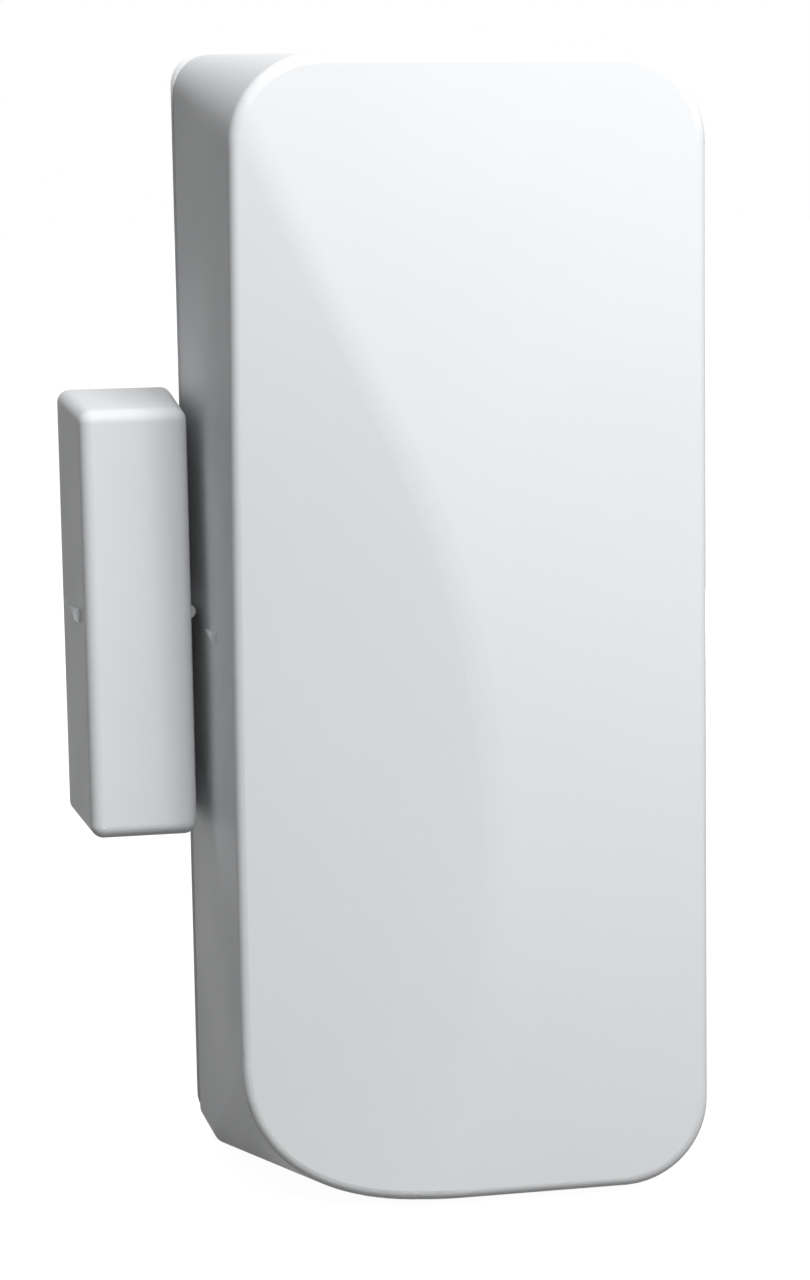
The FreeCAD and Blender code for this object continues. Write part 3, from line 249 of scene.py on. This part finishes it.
def circuit():
    """Solder mask over copper: patches of parallel tracks, upright or level, and some plain patches."""
    material, tree, shader = new_material("board_green")
    patches = tree.nodes.new("ShaderNodeTexVoronoi")
    patches.distance = "CHEBYCHEV"
    patches.inputs["Scale"].default_value = 1 / TRACK_PATCH
    tree.links.new(object_place(tree), patches.inputs["Vector"])
    chance = tree.nodes.new("ShaderNodeSeparateColor")
    tree.links.new(patches.outputs["Color"], chance.inputs["Color"])
    upright = calculate(tree, "GREATER_THAN", chance.outputs["Red"], LEVEL_SHARE)
    level = calculate(tree, "SUBTRACT", 1.0, upright)
    routed = calculate(tree, "GREATER_THAN", chance.outputs["Green"], PLAIN_SHARE)
    along = calculate(tree, "MULTIPLY", wave_bands(tree, "X", TRACK_PITCH), upright)
    across = calculate(tree, "MULTIPLY", wave_bands(tree, "Z", TRACK_PITCH), level)
    tracks = calculate(tree, "MULTIPLY", calculate(tree, "ADD", along, across), routed)
    tree.links.new(tint(tree, tracks, MASK_GREEN, TRACK_GREEN), shader.inputs["Base Color"])
    shader.inputs["Roughness"].default_value = 0.3
    bump(tree, shader, tracks, strength=0.4, depth=TRACK_RELIEF)
    return material


def cell():
    """A shrunk sleeve on the side of the cell and bare metal on its ends."""
    material, tree, shader = new_material("cell_sleeve")
    corners = frame["nodes"]["battery_cell"].bound_box
    low = Vector([min(corner[axis] for corner in corners) for axis in range(3)])
    high = Vector([max(corner[axis] for corner in corners) for axis in range(3)])
    from_axis = tree.nodes.new("ShaderNodeMapping")
    from_axis.inputs["Location"].default_value = -(low + high) / 2
    tree.links.new(object_place(tree), from_axis.inputs["Vector"])
    flat = tree.nodes.new("ShaderNodeVectorMath")
    flat.operation = "MULTIPLY"
    flat.inputs[1].default_value = (1, 1, 0)
    tree.links.new(from_axis.outputs["Vector"], flat.inputs[0])
    distance = vector_length(tree, flat.outputs["Vector"])
    bare = calculate(tree, "LESS_THAN", distance, (high.x - low.x) / 2 - SLEEVE_LAP)
    tree.links.new(tint(tree, bare, SLEEVE_BLUE, BARE_STEEL), shader.inputs["Base Color"])
    tree.links.new(bare, shader.inputs["Metallic"])
    wrinkle = object_noise(tree, scale=350.0)
    tree.links.new(spread(tree, wrinkle, low=0.24, high=0.32), shader.inputs["Roughness"])
    bump(tree, shader, wrinkle, strength=0.5, depth=SLEEVE_WRINKLE)
    return material


materials = {"reed_glass": glass(), "board_green": circuit(), "cell_sleeve": cell()}
for name, settings in MOULDED.items():
    materials[name] = moulded(name, **settings)
for name, settings in METAL.items():
    materials[name] = metal(name, **settings)

for part in frame["record"]["subparts"]:
    slots = frame["nodes"][part["node"]].data.materials
    slots.clear()
    slots.append(materials[part["material_slot"]])


# Floor

WHITE = (1, 1, 1, 1)
FLOOR_GAP = 0.2 * MM
FLOOR_REACH = 6
FLOOR_GREY = 0.15
FLOOR_MOTTLE = 0.01
GLOW_START = 0.1
GLOW_END = 0.35
GLOW_NEAR = 0.96
GLOW_FAR = 1.0


def background_rays(tree):
    """One for the rays that see the background: the camera's, and those by metal and glass."""
    path = tree.nodes.new("ShaderNodeLightPath")
    seen = path.outputs["Is Camera Ray"]
    for ray in ("Is Glossy Ray", "Is Transmission Ray"):
        seen = calculate(tree, "MAXIMUM", seen, path.outputs[ray])
    return seen


def lit_ground():
    """A floor that is seen white, keeps the object's shadow and meets the white world without a step."""
    material, tree, shader = new_material("floor_white")
    shader.inputs["Roughness"].default_value = 0.9
    grain = object_noise(tree, scale=30.0)
    dark = (FLOOR_GREY - FLOOR_MOTTLE,) * 3
    light = (FLOOR_GREY + FLOOR_MOTTLE,) * 3
    tree.links.new(tint(tree, grain, dark, light), shader.inputs["Base Color"])
    shader.inputs["Emission Color"].default_value = WHITE
    distance = vector_length(tree, object_place(tree))
    glow = map_range(tree, distance, GLOW_START, GLOW_END, GLOW_NEAR, GLOW_FAR)
    seen_glow = calculate(tree, "MULTIPLY", background_rays(tree), glow)
    tree.links.new(seen_glow, shader.inputs["Emission Strength"])
    return material


def floor():
    """A level sheet just under the part."""
    ground = cad_box[0].z - FLOOR_GAP
    mesh = bpy.data.meshes.new("floor")
    signs = ((-1, -1), (1, -1), (1, 1), (-1, 1))
    corners = [(x * FLOOR_REACH, y * FLOOR_REACH, ground) for x, y in signs]
    mesh.from_pydata(corners, [], [(0, 1, 2, 3)])
    mesh.materials.append(lit_ground())
    obj = bpy.data.objects.new("floor", mesh)
    scene.collection.objects.link(obj)


# Light and camera

FILL_STRENGTH = 0.145
FILL_COLOUR = (0.97, 0.985, 1.0, 1)
LAMP_SIDE = 0.08
SENSOR_WIDTH = 36.0
NEAREST = 0.01
FARTHEST = 50.0


def world():
    """White where it is seen, and a weak fill light everywhere else."""
    scene.world = bpy.data.worlds.new("studio")
    scene.world.use_nodes = True
    tree = scene.world.node_tree
    tree.nodes.clear()
    out = tree.nodes.new("ShaderNodeOutputWorld")
    seen = tree.nodes.new("ShaderNodeBackground")
    seen.inputs["Color"].default_value = WHITE
    seen.inputs["Strength"].default_value = 1.0
    fill = tree.nodes.new("ShaderNodeBackground")
    fill.inputs["Color"].default_value = FILL_COLOUR
    fill.inputs["Strength"].default_value = FILL_STRENGTH
    mix = tree.nodes.new("ShaderNodeMixShader")
    tree.links.new(background_rays(tree), mix.inputs["Fac"])
    tree.links.new(fill.outputs[0], mix.inputs[1])
    tree.links.new(seen.outputs[0], mix.inputs[2])
    tree.links.new(mix.outputs[0], out.inputs["Surface"])


def soft_box(name, place, power, seen=True):
    """A square lamp, its place in metres, that points at the middle of the housing's back."""
    lamp = bpy.data.lights.new(name, "AREA")
    lamp.shape = "SQUARE"
    lamp.size = LAMP_SIDE
    lamp.energy = power
    obj = bpy.data.objects.new(name, lamp)
    scene.collection.objects.link(obj)
    obj.location = place
    obj.rotation_euler = (-Vector(place)).to_track_quat("-Z", "Y").to_euler()
    obj.visible_camera = seen


def photo_camera(place, target, roll, lens):
    """The camera at the photograph's place, in millimetres; roll is in degrees about the sight line."""
    data = bpy.data.cameras.new("photo_view")
    data.lens = lens
    data.sensor_width = SENSOR_WIDTH
    data.clip_start = NEAREST
    data.clip_end = FARTHEST
    obj = bpy.data.objects.new("photo_view", data)
    scene.collection.objects.link(obj)
    sight = Vector(target) - Vector(place)
    turn = sight.to_track_quat("-Z", "Y").to_matrix().to_4x4()
    tilt = Matrix.Rotation(math.radians(roll), 4, "Z")
    obj.matrix_world = Matrix.Translation(Vector(place) * MM) @ turn @ tilt
    scene.camera = obj


floor()
world()
soft_box("key", place=(0.03, -0.24, 0.24), power=0.72)
soft_box("top", place=(0, -0.18, 0.36), power=0.35)
soft_box("right", place=(0.08, -0.16, 0.1), power=0.085)
soft_box("back", place=(0.1, 0.3, 0), power=0.4, seen=False)
photo_camera(place=(-45.02, -231.29, 29.96), target=(0.015, 0.0, -4.062), roll=-0.938, lens=86.86)
scene.view_settings.view_transform = "Standard"
